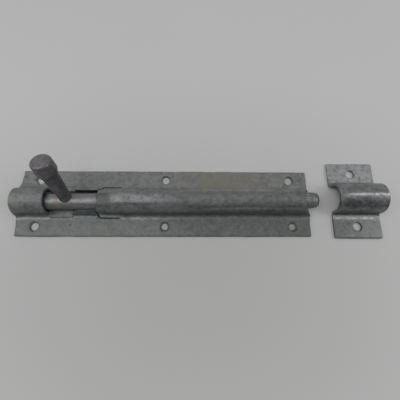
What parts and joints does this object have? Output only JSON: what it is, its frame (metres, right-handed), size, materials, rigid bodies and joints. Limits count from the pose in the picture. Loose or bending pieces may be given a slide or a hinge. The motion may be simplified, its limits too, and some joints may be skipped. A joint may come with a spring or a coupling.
{
  "type": "barrel bolt",
  "caption": "Pressed steel barrel bolt: a round bolt slides in a tunnel pressed from a flat plate, worked by an upright handle peg, and enters a separate arched keep.",
  "frame": {"origin": "centre of the plate's six-screw pattern, on the back face, under the bolt's axis", "axes": "+X along the bolt towards the keep, +Y across the plate, +Z out of the mounting surface"},
  "size_m": [0.2529, 0.0556, 0.0464],
  "materials": {
    "galvanised_sheet": "hot-dip galvanised, dull grey",
    "galvanised_bar": "hot-dip galvanised, rubbed brighter along the top",
    "galvanised_peg": "hot-dip galvanised, dull dark grey",
    "galvanised_keep": "hot-dip galvanised, dull grey"
  },
  "bodies": {
    "plate": {"body_plate": "galvanised_sheet"},
    "bolt": {"shoot": "galvanised_bar"},
    "handle": {"handle_peg": "galvanised_peg"},
    "keep": {"keep": "galvanised_keep"}
  },
  "joints": [
    {"name": "bolt_slide", "type": "slide", "parent": "plate", "child": "bolt", "axis": [1, 0, 0], "range_m": [-0.0085, 0.0155]},
    {"name": "handle_turn", "type": "hinge", "parent": "bolt", "child": "handle", "pos_m": [-0.0653, 0, 0.0064], "axis": [-1, 0, 0], "range_deg": [-84, 45]},
    {"name": "keep_gap", "type": "slide", "parent": "plate", "child": "keep", "axis": [1, 0, 0], "range_m": [-0.012, 0.03]}
  ]
}
